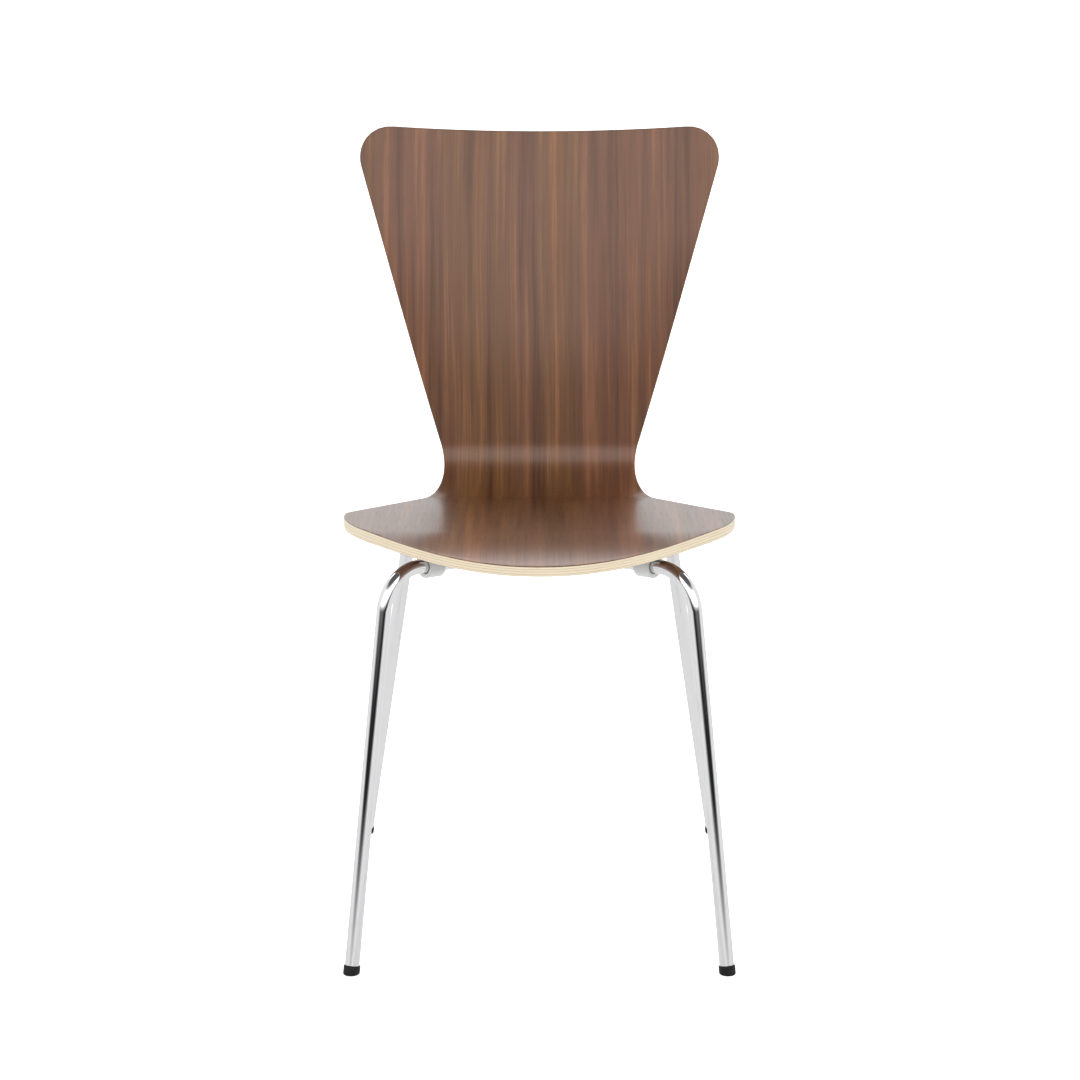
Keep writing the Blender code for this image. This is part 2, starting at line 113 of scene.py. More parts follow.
def setInputs(tree, node, inputs):
    for key, value in inputs.items():
        if isinstance(value, bpy.types.NodeSocket):
            tree.links.new(value, node.inputs[key])
        else:
            node.inputs[key].default_value = value


def addNode(tree, kind, inputs=None, **settings):
    made = tree.nodes.new(kind)
    for key, value in settings.items():
        setattr(made, key, value)
    setInputs(tree, made, inputs or {})
    return made


def mathNode(tree, operation, first, second=0.5, third=0.0):
    inputs = {0: first, 1: second, 2: third}
    return addNode(tree, "ShaderNodeMath", inputs, operation=operation).outputs[0]


def remap(tree, value, low, high, toLow=0.0, toHigh=1.0, smooth=False):
    kind = "SMOOTHSTEP" if smooth else "LINEAR"
    inputs = {"Value": value, "From Min": low, "From Max": high, "To Min": toLow, "To Max": toHigh}
    return addNode(tree, "ShaderNodeMapRange", inputs, interpolation_type=kind).outputs["Result"]


def mixValue(tree, factor, first, second):
    return addNode(tree, "ShaderNodeMix", {0: factor, 2: first, 3: second}).outputs[0]


def mixColour(tree, factor, first, second, blend="MIX"):
    colours = []
    for value in (first, second):
        colours.append(value if isinstance(value, bpy.types.NodeSocket) else (*value, 1.0))
    made = tree.nodes.new("ShaderNodeMix")
    made.data_type = "RGBA"
    made.blend_type = blend
    setInputs(tree, made, {0: factor, 6: colours[0], 7: colours[1]})
    return made.outputs[2]


def stretchedNoise(tree, vector, scale, detail=2.0, offset=(0.0, 0.0, 0.0)):
    inputs = {0: vector, 1: scale, 2: offset}
    stretched = addNode(tree, "ShaderNodeVectorMath", inputs, operation="MULTIPLY_ADD")
    inputs = {"Vector": stretched.outputs[0], "Scale": 1.0, "Detail": detail}
    return addNode(tree, "ShaderNodeTexNoise", inputs).outputs["Fac"]


def colourRamp(tree, value, stops):
    made = addNode(tree, "ShaderNodeValToRGB", {"Fac": value})
    ramp = made.color_ramp
    while len(ramp.elements) < len(stops):
        ramp.elements.new(0.5)
    for element, (place, colour) in zip(ramp.elements, stops):
        element.position = place
        element.color = (*colour, 1.0)
    return made.outputs["Color"]


def newGroup(name, inputs, outputs):
    group = bpy.data.node_groups.new(name, "ShaderNodeTree")
    for label, kind, value in inputs:
        socket = group.interface.new_socket(
            name=label, in_out="INPUT", socket_type="NodeSocket" + kind)
        if value is not None:
            socket.default_value = value
    for label, kind in outputs:
        group.interface.new_socket(name=label, in_out="OUTPUT", socket_type="NodeSocket" + kind)
    given = group.nodes.new("NodeGroupInput").outputs
    out = group.nodes.new("NodeGroupOutput").inputs
    return group, given, out


def useGroup(tree, group, inputs):
    made = tree.nodes.new("ShaderNodeGroup")
    made.node_tree = group
    setInputs(tree, made, inputs)
    return made.outputs


def newMaterial(name, settings):
    material = bpy.data.materials.new(name)
    material.use_nodes = True
    shader = material.node_tree.nodes["Principled BSDF"]
    for label, value in settings.items():
        shader.inputs[label].default_value = value
    return material, material.node_tree, shader


def bumpInto(tree, shader, height, strength, distance):
    bump = addNode(tree, "ShaderNodeBump", {"Height": height, "Strength": strength, "Distance": distance})
    tree.links.new(bump.outputs["Normal"], shader.inputs["Normal"])


# ---- effects that several finishes share

def buildWoodFigure():
    # noise scales are per metre, across the grain and then along it
    values = dict(
        drift=(2.5, 2.2, 1.0),
        bands=(34.0, 1.1, 1.0),
        bandShare=0.55,
        streaks=(130.0, 2.6, 1.0),
        streakShare=0.45,
        fibres=(620.0, 9.0, 1.0),
        fibreShare=0.22,
        fibreRoughness=(0.34, 0.46),
        fibreHeight=0.35,
        pores=(1300.0, 20.0, 1.0),
        poreColour=(0.055, 0.028, 0.017),
        poreShare=0.32,
        poreRoughness=0.22,
        darkTone=(0.50, 0.36),
        lightTone=(0.49, 0.64),
        strips=(12.0, 0.6, 1.0),
        stripTints=(
            (0.36, (1.00, 0.93, 1.06)),
            (0.46, (0.96, 0.97, 1.0)),
            (0.54, (0.97, 1.02, 0.92)),
            (0.64, (1.16, 1.02, 0.84)),
        ),
    )
    group, given, out = newGroup(
        "wood figure",
        [
            ("Sheet", "Vector", None),
            ("Waviness", "Float", 0.006),
            ("Light", "Color", (0.33, 0.20, 0.13, 1.0)),
            ("Middle", "Color", (0.19, 0.112, 0.072, 1.0)),
            ("Dark", "Color", (0.085, 0.046, 0.030, 1.0)),
        ],
        [("Colour", "Color"), ("Roughness", "Float"), ("Height", "Float")],
    )
    # the grain wanders a little sideways as it runs along the sheet
    drift = stretchedNoise(group, given["Sheet"], values["drift"], 2.0, (3.1, 7.7, 0.0))
    sideways = mathNode(group, "MULTIPLY", mathNode(group, "SUBTRACT", drift, 0.5), given["Waviness"])
    shift = addNode(group, "ShaderNodeCombineXYZ", {"X": sideways}).outputs[0]
    moved = addNode(group, "ShaderNodeVectorMath", {0: given["Sheet"], 1: shift}, operation="ADD")
    grain = moved.outputs[0]

    bands = stretchedNoise(group, grain, values["bands"], 2.0, (1.7, 0.4, 0.0))
    streaks = stretchedNoise(group, grain, values["streaks"], 3.0, (9.2, 5.1, 0.0))
    fibres = stretchedNoise(group, grain, values["fibres"], 2.0, (2.4, 8.8, 0.0))
    pores = stretchedNoise(group, grain, values["pores"], 1.0, (6.6, 1.9, 0.0))
    streakTone = mathNode(group, "MULTIPLY", streaks, values["streakShare"])
    tone = mathNode(group, "MULTIPLY_ADD", bands, values["bandShare"], streakTone)
    fibreTone = mathNode(group, "SUBTRACT", fibres, 0.5)
    tone = mathNode(group, "MULTIPLY_ADD", fibreTone, values["fibreShare"], tone)
    toDark = remap(group, tone, *values["darkTone"], smooth=True)
    toLight = remap(group, tone, *values["lightTone"], smooth=True)
    colour = mixColour(group, toDark, given["Middle"], given["Dark"])
    colour = mixColour(group, toLight, colour, given["Light"])

    # broad pinkish, olive and tan strips, as veneer has
    strips = stretchedNoise(group, grain, values["strips"], 1.0, (4.4, 3.3, 0.0))
    colour = mixColour(group, 1.0, colour, colourRamp(group, strips, values["stripTints"]), "MULTIPLY")
    porous = remap(group, pores, 0.58, 0.70)
    poreMix = mathNode(group, "MULTIPLY", porous, values["poreShare"])
    group.links.new(mixColour(group, poreMix, colour, values["poreColour"]), out["Colour"])

    roughness = remap(group, fibres, 0.3, 0.7, *values["fibreRoughness"])
    roughness = mathNode(group, "MULTIPLY_ADD", porous, values["poreRoughness"], roughness)
    group.links.new(roughness, out["Roughness"])
    raised = mathNode(group, "MULTIPLY", fibres, values["fibreHeight"])
    group.links.new(mathNode(group, "SUBTRACT", raised, porous), out["Height"])
    return group


def buildPlyLayers():
    # Rim runs along the edge in X and down through the plies in Y, in metres
    values = dict(
        wander=0.0005,
        wanderScale=(9.0, 0.0, 1.0),
        glueLine=(0.38, 0.48),
        glueShare=0.8,
        longGrain=(70.0, 3500.0, 1.0),
        endGrain=(1500.0, 1900.0, 1.0),
        grainTone=(0.35, 0.68),
        grainRoughness=(0.42, 0.56),
        crossingShare=0.40,
        crossingRoughness=0.12,
        patches=(14.0, 60.0, 1.0),
        patchTone=(0.5, 0.72),
        patchShare=0.35,
    )
    group, given, out = newGroup(
        "ply layers",
        [
            ("Rim", "Vector", None),
            ("Ply", "Float", 0.0031),
            ("Pale", "Color", (0.90, 0.80, 0.60, 1.0)),
            ("Deep", "Color", (0.85, 0.71, 0.51, 1.0)),
            ("Glue", "Color", (0.42, 0.31, 0.20, 1.0)),
        ],
        [("Colour", "Color"), ("Roughness", "Float"), ("Height", "Float")],
    )
    parts = addNode(group, "ShaderNodeSeparateXYZ", {0: given["Rim"]}).outputs
    wander = mathNode(group, "SUBTRACT", stretchedNoise(group, given["Rim"], values["wanderScale"]), 0.5)
    depth = mathNode(group, "MULTIPLY_ADD", wander, values["wander"], parts["Y"])
    layer = mathNode(group, "DIVIDE", depth, given["Ply"])
    within = mathNode(group, "FRACT", layer)
    crossing = mathNode(group, "GREATER_THAN", mathNode(group, "MODULO", layer, 2.0), 1.0)
    fromMiddle = mathNode(group, "ABSOLUTE", mathNode(group, "SUBTRACT", within, 0.5))
    glueLine = remap(group, fromMiddle, *values["glueLine"], smooth=True)

    longGrain = stretchedNoise(group, given["Rim"], values["longGrain"], 2.0, (0.5, 0.2, 0.0))
    endGrain = stretchedNoise(group, given["Rim"], values["endGrain"], 2.0, (7.5, 3.2, 0.0))
    grain = mixValue(group, crossing, longGrain, endGrain)
    grainMix = remap(group, grain, *values["grainTone"])
    colour = mixColour(group, grainMix, given["Pale"], given["Deep"])
    crossingMix = mathNode(group, "MULTIPLY", crossing, values["crossingShare"])
    colour = mixColour(group, crossingMix, colour, given["Deep"])
    glueMix = mathNode(group, "MULTIPLY", glueLine, values["glueShare"])
    colour = mixColour(group, glueMix, colour, given["Glue"])
    # sanded pale again here and there along its length
    patches = stretchedNoise(group, given["Rim"], values["patches"], 2.0, (2.2, 6.1, 0.0))
    patchMix = remap(group, patches, *values["patchTone"], 0.0, values["patchShare"])
    group.links.new(mixColour(group, patchMix, colour, given["Pale"]), out["Colour"])

    roughness = remap(group, grain, 0.3, 0.7, *values["grainRoughness"])
    roughness = mathNode(group, "MULTIPLY_ADD", crossing, values["crossingRoughness"], roughness)
    group.links.new(roughness, out["Roughness"])
    group.links.new(mathNode(group, "SUBTRACT", grain, glueLine), out["Height"])
    return group


def buildHandling():
    values = dict(
        scratches=(1400.0, 1400.0, 30.0),
        scratchTone=(0.66, 0.74),
        scratchHeight=-0.5,
        smudgeTone=(0.52, 0.70),
        smudgeHeight=0.2,
    )
    group, given, out = newGroup(
        "handling marks",
        [
            ("Place", "Vector", None),
            ("Smudge Scale", "Float", 22.0),
            ("Low", "Float", 0.03),
            ("High", "Float", 0.10),
        ],
        [("Mask", "Color"), ("Roughness", "Float"), ("Height", "Float")],
    )
    inputs = {"Vector": given["Place"], "Scale": given["Smudge Scale"], "Detail": 4.0, "Roughness": 0.6}
    smudge = addNode(group, "ShaderNodeTexNoise", inputs).outputs["Fac"]
    marks = remap(group, smudge, *values["smudgeTone"], smooth=True)
    group.links.new(marks, out["Mask"])
    spread = mathNode(group, "SUBTRACT", given["High"], given["Low"])
    group.links.new(mathNode(group, "MULTIPLY_ADD", marks, spread, given["Low"]), out["Roughness"])

    scratches = stretchedNoise(group, given["Place"], values["scratches"], 1.0)
    scratches = remap(group, scratches, *values["scratchTone"])
    raised = mathNode(group, "MULTIPLY", smudge, values["smudgeHeight"])
    raised = mathNode(group, "MULTIPLY_ADD", scratches, values["scratchHeight"], raised)
    group.links.new(raised, out["Height"])
    return group


def buildMouldedSkin():
    values = dict(
        clouds=(60.0, 60.0, 60.0),
        cloudTone=(0.35, 0.70),
        cloudHeight=0.15,
    )
    group, given, out = newGroup(
        "moulded skin",
        [
            ("Place", "Vector", None),
            ("Grain", "Float", 1600.0),
            ("Low", "Float", 0.45),
            ("High", "Float", 0.62),
        ],
        [("Mask", "Color"), ("Roughness", "Float"), ("Height", "Float")],
    )
    inputs = {"Vector": given["Place"], "Scale": given["Grain"]}
    cells = addNode(group, "ShaderNodeTexVoronoi", inputs, feature="SMOOTH_F1").outputs["Distance"]
    clouds = stretchedNoise(group, given["Place"], values["clouds"], 3.0)
    mottle = remap(group, clouds, *values["cloudTone"])
    group.links.new(mottle, out["Mask"])
    spread = mathNode(group, "SUBTRACT", given["High"], given["Low"])
    group.links.new(mathNode(group, "MULTIPLY_ADD", mottle, spread, given["Low"]), out["Roughness"])
    raised = mathNode(group, "MULTIPLY_ADD", clouds, values["cloudHeight"], cells)
    group.links.new(raised, out["Height"])
    return group


woodFigure = buildWoodFigure()
plyLayers = buildPlyLayers()
handling = buildHandling()
mouldedSkin = buildMouldedSkin()
print("shared effects built")


# ---- finishes

def objectPlace(tree):
    return addNode(tree, "ShaderNodeTexCoord").outputs["Object"]


def walnutVeneer():
    values = dict(
        waviness=0.012,
        light=(0.240, 0.106, 0.042, 1.0),
        middle=(0.131, 0.056, 0.024, 1.0),
        dark=(0.065, 0.025, 0.010, 1.0),
        fibreSheen=0.5,
        sheenTint=(1.0, 0.45, 0.25, 1.0),
        lacquer=0.9,
        lacquerRoughness=0.29,
        poreDepth=0.00003,
        poreStrength=0.25,
    )
    settings = {
        "Coat Weight": values["lacquer"],
        "Coat Roughness": values["lacquerRoughness"],
        "Specular IOR Level": values["fibreSheen"],
        "Specular Tint": values["sheenTint"],
    }
    material, tree, shader = newMaterial("lacquered walnut veneer", settings)
    sheet = addNode(tree, "ShaderNodeUVMap", uv_map="sheet").outputs["UV"]
    figure = useGroup(tree, woodFigure, {
        "Sheet": sheet,
        "Waviness": values["waviness"],
        "Light": values["light"],
        "Middle": values["middle"],
        "Dark": values["dark"],
    })
    tree.links.new(figure["Colour"], shader.inputs["Base Color"])
    tree.links.new(figure["Roughness"], shader.inputs["Roughness"])
    bumpInto(tree, shader, figure["Height"], values["poreStrength"], values["poreDepth"])
    return material


def plyEdge():
    values = dict(
        ply=0.0031,
        layerDepth=0.00008,
        layerStrength=0.4,
        lacquer=0.35,
        lacquerRoughness=0.3,
    )
    settings = {"Coat Weight": values["lacquer"], "Coat Roughness": values["lacquerRoughness"]}
    material, tree, shader = newMaterial("sanded ply edge", settings)
    rim = addNode(tree, "ShaderNodeUVMap", uv_map="rim").outputs["UV"]
    layers = useGroup(tree, plyLayers, {"Rim": rim, "Ply": values["ply"]})
    tree.links.new(layers["Colour"], shader.inputs["Base Color"])
    tree.links.new(layers["Roughness"], shader.inputs["Roughness"])
    bumpInto(tree, shader, layers["Height"], values["layerStrength"], values["layerDepth"])
    return material


def metalFinish(name, values):
    material, tree, shader = newMaterial(name, {"Metallic": values["metallic"]})
    marks = useGroup(tree, handling, {
        "Place": objectPlace(tree),
        "Smudge Scale": values["smudges"],
        "Low": values["smooth"],
        "High": values["worn"],
    })
    colour = mixColour(tree, marks["Mask"], values["clean"], values["dulled"])
    tree.links.new(colour, shader.inputs["Base Color"])
    tree.links.new(marks["Roughness"], shader.inputs["Roughness"])
    bumpInto(tree, shader, marks["Height"], 0.2, values["scratchDepth"])
    return material


def plasticFinish(name, values):
    settings = {
        "Subsurface Weight": values["translucent"],
        "Subsurface Scale": 0.004,
        "Specular IOR Level": values["sheen"],
    }
    material, tree, shader = newMaterial(name, settings)
    skin = useGroup(tree, mouldedSkin, {
        "Place": objectPlace(tree),
        "Grain": values["grain"],
        "Low": values["smooth"],
        "High": values["rough"],
    })
    colour = mixColour(tree, skin["Mask"], values["colour"], values["mottle"])
    tree.links.new(colour, shader.inputs["Base Color"])
    tree.links.new(skin["Roughness"], shader.inputs["Roughness"])
    bumpInto(tree, shader, skin["Height"], 0.5, values["grainDepth"])
    return material


walnut = walnutVeneer()
plyCore = plyEdge()
chrome = metalFinish("polished chrome", dict(
    metallic=1.0,
    clean=(0.80, 0.80, 0.81),
    dulled=(0.76, 0.76, 0.77),
    smudges=16.0,
    smooth=0.025,
    worn=0.07,
    scratchDepth=0.00001,
))
zinc = metalFinish("zinc plate", dict(
    metallic=1.0,
    clean=(0.62, 0.63, 0.66),
    dulled=(0.50, 0.51, 0.50),
    smudges=240.0,
    smooth=0.28,
    worn=0.48,
    scratchDepth=0.00003,
))
blackPaint = metalFinish("satin black paint", dict(
    metallic=0.0,
    clean=(0.022, 0.022, 0.023),
    dulled=(0.035, 0.034, 0.033),
    smudges=90.0,
    smooth=0.38,
    worn=0.55,
    scratchDepth=0.00003,
))
blackPlastic = plasticFinish("grained black plastic", dict(
    colour=(0.010, 0.010, 0.011),
    mottle=(0.017, 0.017, 0.017),
    grain=1500.0,
    smooth=0.42,
    rough=0.62,
    grainDepth=0.00015,
    translucent=0.0,
    sheen=0.2,
))
blackRubber = plasticFinish("black rubber", dict(
    colour=(0.018, 0.018, 0.018),
    mottle=(0.034, 0.033, 0.032),
    grain=2600.0,
    smooth=0.7,
    rough=0.9,
    grainDepth=0.00010,
    translucent=0.0,
    sheen=0.3,
))
whitePlastic = plasticFinish("milky white plastic", dict(
    colour=(0.80, 0.82, 0.80),
    mottle=(0.74, 0.77, 0.76),
    grain=900.0,
    smooth=0.32,
    rough=0.46,
    grainDepth=0.00005,
    translucent=0.15,
    sheen=0.5,
))
print("finishes made")


# ---- seat shell: one sheet of plywood, bent along its length and curled a little across

shellSizes = dict(
    thickness=0.0125,
    veneer=0.0006,
    rimRadius=0.0014,
    seatWidth=0.441,
    seatFrontRadius=0.2175,
    seatCornerDistance=0.2297,
    seatCornerRadius=0.036,
    waistCornerWidth=0.2032,
    waistPastBend=0.0502,
    waistRadius=0.1247,
    backWidth=0.4597,
    backCornerRadius=0.0391,
    frontHeight=0.4424,
    frontDrop=math.radians(16.0),
    frontRoll=0.112,
    seatLength=0.240,
    seatSlope=math.radians(4.0),
    bendRadius=0.0705,
    waistLean=math.radians(6.3),
    lowerBack=0.1275,
    lowerLean=math.radians(14.0),
    upperBack=0.2404,
    topLean=math.radians(18.6),
    dish=0.119,
    waistCurl=0.644,
    backCurl=1.61,
    baseDistance=0.208,
    stepsAcross=22,
    stepsAlong=150,
    arcSteps=24,
    rimSteps=6,
)
size = shellSizes
upright = math.pi / 2
seatAngle = -size["seatSlope"]
waistAngle = upright - size["waistLean"]
lowerAngle = upright - size["lowerLean"]
# the sheet's middle line in stretches: length, angle at its start, angle at its end
stretches = (
    (size["frontRoll"], size["frontDrop"], seatAngle),
    (size["seatLength"], seatAngle, seatAngle),
    (size["bendRadius"] * (waistAngle - seatAngle), seatAngle, waistAngle),
    (size["lowerBack"], waistAngle, lowerAngle),
    (size["upperBack"], lowerAngle, upright - size["topLean"]),
)
bendStart = size["frontRoll"] + size["seatLength"]
sheetLength = sum(length for length, _, _ in stretches)


def profileAt(distance, y=0.0):
    z = size["frontHeight"]
    for length, start, end in stretches:
        run = min(distance, length)
        angle = start + (end - start) * run / length
        if abs(end - start) < 1e-6:
            y += run * math.cos(start)
            z += run * math.sin(start)
        else:
            radius = length / (end - start)
            y += radius * (math.sin(angle) - math.sin(start))
            z -= radius * (math.cos(angle) - math.cos(start))
        distance -= run
        if distance <= 0:
            break
    return y, z, angle


# the plate lies centred under the base frame's middle, so the CAD plate gives that point
baseSizes = dict(
    contactGap=0.0003,
    padHeight=0.0108,
    plateThickness=0.003,
)
plateTopDrop = 2 * baseSizes["contactGap"] + baseSizes["padHeight"]
plateMiddleDrop = plateTopDrop + baseSizes["plateThickness"] / 2
plateLow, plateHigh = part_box("mounting_plate")
slopeTurn = Matrix.Rotation(-size["seatSlope"], 4, "X")
hub = (plateLow + plateHigh) / 2 + slopeTurn @ Vector((0, 0, plateMiddleDrop))
baseMatrix = Matrix.Translation(hub) @ slopeTurn
upFromSeat = slopeTurn @ Vector((0, 0, 1))
baseY = profileAt(size["baseDistance"])[0]
frontY = (hub + upFromSeat * size["thickness"] / 2).y - baseY


def smoothStep(value, low, high):
    share = min(max((value - low) / (high - low), 0.0), 1.0)
    return share * share * (3 - 2 * share)


def curlAt(distance):
    waist = smoothStep(distance, bendStart, bendStart + size["waistPastBend"])
    back = smoothStep(distance, bendStart + size["waistPastBend"], sheetLength - size["upperBack"] / 2)
    curl = size["dish"] + (size["waistCurl"] - size["dish"]) * waist
    return curl + (size["backCurl"] - size["waistCurl"]) * back


def shellPoint(across, distance, face):
    y, z, angle = profileAt(max(distance, 0.0), frontY)
    if distance < 0:
        y += distance * math.cos(angle)
        z += distance * math.sin(angle)
    curl = curlAt(distance)
    turn = curl * across
    rise = (1 - math.cos(turn)) / curl + face * size["thickness"] / 2 / math.cos(turn)
    return Vector((math.sin(turn) / curl, y - rise * math.sin(angle), z + rise * math.cos(angle)))


def flatGrid():
    # rows of points over the flat sheet, from the front edge to the top
    arcSteps = size["arcSteps"]
    outline = roundedPath(
        (
            Vector((0, 0, 0)),
            Vector((size["seatWidth"] / 2, 0, 0)),
            Vector((size["seatWidth"] / 2, size["seatCornerDistance"], 0)),
            Vector((size["waistCornerWidth"] / 2, bendStart + size["waistPastBend"], 0)),
            Vector((size["backWidth"] / 2, sheetLength, 0)),
            Vector((0, sheetLength, 0)),
        ),
        (size["seatFrontRadius"], size["seatCornerRadius"], size["waistRadius"], size["backCornerRadius"]),
        arcSteps,
    )
    # the front side ends two thirds round the seat's front arc, the top one halfway round the top corner
    frontEnd = 1 + arcSteps * 2 // 3
    sideEnd = 1 + 3 * (arcSteps + 1) + arcSteps // 2
    front = resample(outline[: frontEnd + 1], size["stepsAcross"])
    side = resample(outline[frontEnd : sideEnd + 1], size["stepsAlong"])
    top = resample(outline[sideEnd:], size["stepsAcross"])[::-1]
    rows = []
    for row, edge in enumerate(side):
        along = row / size["stepsAlong"]
        half = []
        for frontPoint, topPoint in zip(front, top):
            frontShare = frontPoint.x / front[-1].x
            topShare = topPoint.x / top[-1].x
            share = frontShare * (1 - along) + topShare * along
            frontBulge = frontPoint.y - front[0].y - (front[-1].y - front[0].y) * frontShare
            topBulge = topPoint.y - top[0].y - (top[-1].y - top[0].y) * topShare
            bulge = frontBulge * (1 - along) ** 3 + topBulge * along ** 3
            y = sheetLength * along * (1 - share) + edge.y * share + bulge
            half.append(Vector((edge.x * share, y)))
        rows.append([Vector((-point.x, point.y)) for point in half[:0:-1]] + half)
    return rows


def buildSeatShell():
    rows = flatGrid()
    across = len(rows[0])
    last = len(rows) - 1
    rim = [(0, column) for column in range(across)]
    rim += [(row, across - 1) for row in range(1, last + 1)]
    rim += [(last, column) for column in range(across - 2, -1, -1)]
    rim += [(row, 0) for row in range(last - 1, 0, -1)]
    flatRim = [rows[row][column].copy() for row, column in rim]
    outward = []
    for index in range(len(rim)):
        along = (flatRim[(index + 1) % len(rim)] - flatRim[index - 1]).normalized()
        outward.append(Vector((along.y, -along.x)))
    for (row, column), place, normal in zip(rim, flatRim, outward):
        rows[row][column] = place - normal * size["rimRadius"]
    # rings down the rim: (inset from the outline, depth under the upper face)
    rings = []
    for step in range(size["rimSteps"] + 1):
        angle = upright * step / size["rimSteps"]
        inset = size["rimRadius"] * (1 - math.sin(angle))
        rings.append((inset, size["rimRadius"] * (1 - math.cos(angle))))
    rings += [(inset, size["thickness"] - depth) for inset, depth in rings[::-1]]
    work = bmesh.new()
    sheetMap = work.loops.layers.uv.new("sheet")
    rimMap = work.loops.layers.uv.new("rim")
    flat = {}
    below = {}
    grids = []
    for face, depth in ((1, 0.0), (-1, size["thickness"])):
        grid = []
        for row in rows:
            grid.append([])
            for place in row:
                vertex = work.verts.new(shellPoint(place.x, place.y, face))
                flat[vertex] = place
                below[vertex] = depth
                grid[-1].append(vertex)
        grids.append(grid)
    upper, under = grids
    for row in range(last):
        for column in range(across - 1):
            corners = ((row, column), (row, column + 1), (row + 1, column + 1), (row + 1, column))
            for grid, order in ((upper, corners), (under, corners[::-1])):
                made = work.faces.new([grid[r][c] for r, c in order])
                for loop in made.loops:
                    loop[sheetMap].uv = flat[loop.vert]
    layers = [[upper[row][column] for row, column in rim]]
    for inset, depth in rings[1:-1]:
        layer = []
        for place, normal in zip(flatRim, outward):
            inner = place - normal * inset
            vertex = work.verts.new(shellPoint(inner.x, inner.y, 1 - 2 * depth / size["thickness"]))
            flat[vertex] = inner
            below[vertex] = depth
            layer.append(vertex)
        layers.append(layer)
    layers.append([under[row][column] for row, column in rim])
    lengths = [0.0]
    for index in range(len(flatRim)):
        lengths.append(lengths[-1] + (flatRim[(index + 1) % len(flatRim)] - flatRim[index]).length)
    for layer, nextLayer in zip(layers, layers[1:]):
        for index in range(len(rim)):
            after = (index + 1) % len(rim)
            made = work.faces.new((layer[index], nextLayer[index], nextLayer[after], layer[after]))
            middle = sum(below[vertex] for vertex in made.verts) / 4
            inPly = size["veneer"] < middle < size["thickness"] - size["veneer"]
            made.material_index = 1 if inPly else 0
            for loop in made.loops:
                isAfter = loop.vert in (nextLayer[after], layer[after])
                place = lengths[index + 1] if isAfter else lengths[index]
                loop[sheetMap].uv = flat[loop.vert]
                loop[rimMap].uv = (place, below[loop.vert])
    return objectFrom("plywood_seat_shell", work, (walnut, plyCore))


seatShell = buildSeatShell()
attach(seatShell, "root")
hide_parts("seat_shell")
print("seat shell built:", len(seatShell.data.polygons), "faces")


# ---- leg tubes

tubeSizes = dict(
    diameter=0.016,
    wall=0.0015,
    legBendRadius=0.050,
    middleBendRadius=0.030,
    front=dict(side=-1, spacing=0.328, setback=0.148, footOut=0.040, footAway=0.083),
    rear=dict(side=1, spacing=0.304, setback=0.1574, footOut=0.0625, footAway=0.0785),
    sides=56,
    arcSteps=28,
)
capSizes = dict(
    overhang=0.0011,
    height=0.0095,
    plugLength=0.014,
    plugTaper=0.0012,
    collarRound=0.0009,
    belowFloor=0.006,
    floorRound=0.0016,
    sides=72,
)
mirrorX = Matrix.Diagonal((-1, 1, 1, 1))
tubeDrop = plateTopDrop + baseSizes["plateThickness"] + baseSizes["contactGap"] + tubeSizes["diameter"] / 2


def legLine(leg):
    corner = baseMatrix @ Vector((leg["spacing"] / 2, leg["side"] * leg["setback"], -tubeDrop))
    foot = Vector((corner.x + leg["footOut"], corner.y + leg["side"] * leg["footAway"], 0))
    return corner, foot, (corner - foot).normalized()


def sweepTube(name, path, radius, wall, sides):
    work = bmesh.new()
    before = path[:1] + path[:-1]
    after = path[1:] + path[-1:]
    tangents = [(end - start).normalized() for start, end in zip(before, after)]
    normal = tangents[0].orthogonal().normalized()
    outer, inner = [], []
    for index, (place, tangent) in enumerate(zip(path, tangents)):
        if index:
            normal = tangents[index - 1].rotation_difference(tangent) @ normal
        across = tangent.cross(normal)
        outerRing, innerRing = [], []
        for side in range(sides):
            angle = 2 * math.pi * side / sides
            ray = normal * math.cos(angle) + across * math.sin(angle)
            outerRing.append(work.verts.new(place + ray * radius))
            innerRing.append(work.verts.new(place + ray * (radius - wall)))
        outer.append(outerRing)
        inner.append(innerRing)
    for ring, nextRing in zip(outer, outer[1:]):
        bridge(work, ring, nextRing)
    for ring, nextRing in zip(inner, inner[1:]):
        bridge(work, nextRing, ring)
    bridge(work, inner[0], outer[0])
    bridge(work, outer[-1], inner[-1])
    bmesh.ops.recalc_face_normals(work, faces=work.faces)
    return objectFrom(name, work, (chrome,))


for label in ("front", "rear"):
    leg = tubeSizes[label]
    corner, foot, axis = legLine(leg)
    legEnd = foot + axis * (capSizes["height"] + baseSizes["contactGap"])
    middle = baseMatrix @ Vector((0, 0, -tubeDrop))
    path = roundedPath(
        (legEnd, corner, middle, mirrorX @ corner, mirrorX @ legEnd),
        (tubeSizes["legBendRadius"], tubeSizes["middleBendRadius"], tubeSizes["legBendRadius"]),
        tubeSizes["arcSteps"],
    )
    radius = tubeSizes["diameter"] / 2
    tube = sweepTube("chromed_" + label + "_tube", path, radius, tubeSizes["wall"], tubeSizes["sides"])
    tube.data.set_sharp_from_angle(angle=math.radians(40))
    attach(tube, "root")
    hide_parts(label + "_leg_tube")
print("leg tubes built")


# ---- foot caps: a plug up the tube, a collar under it, cut level with the floor

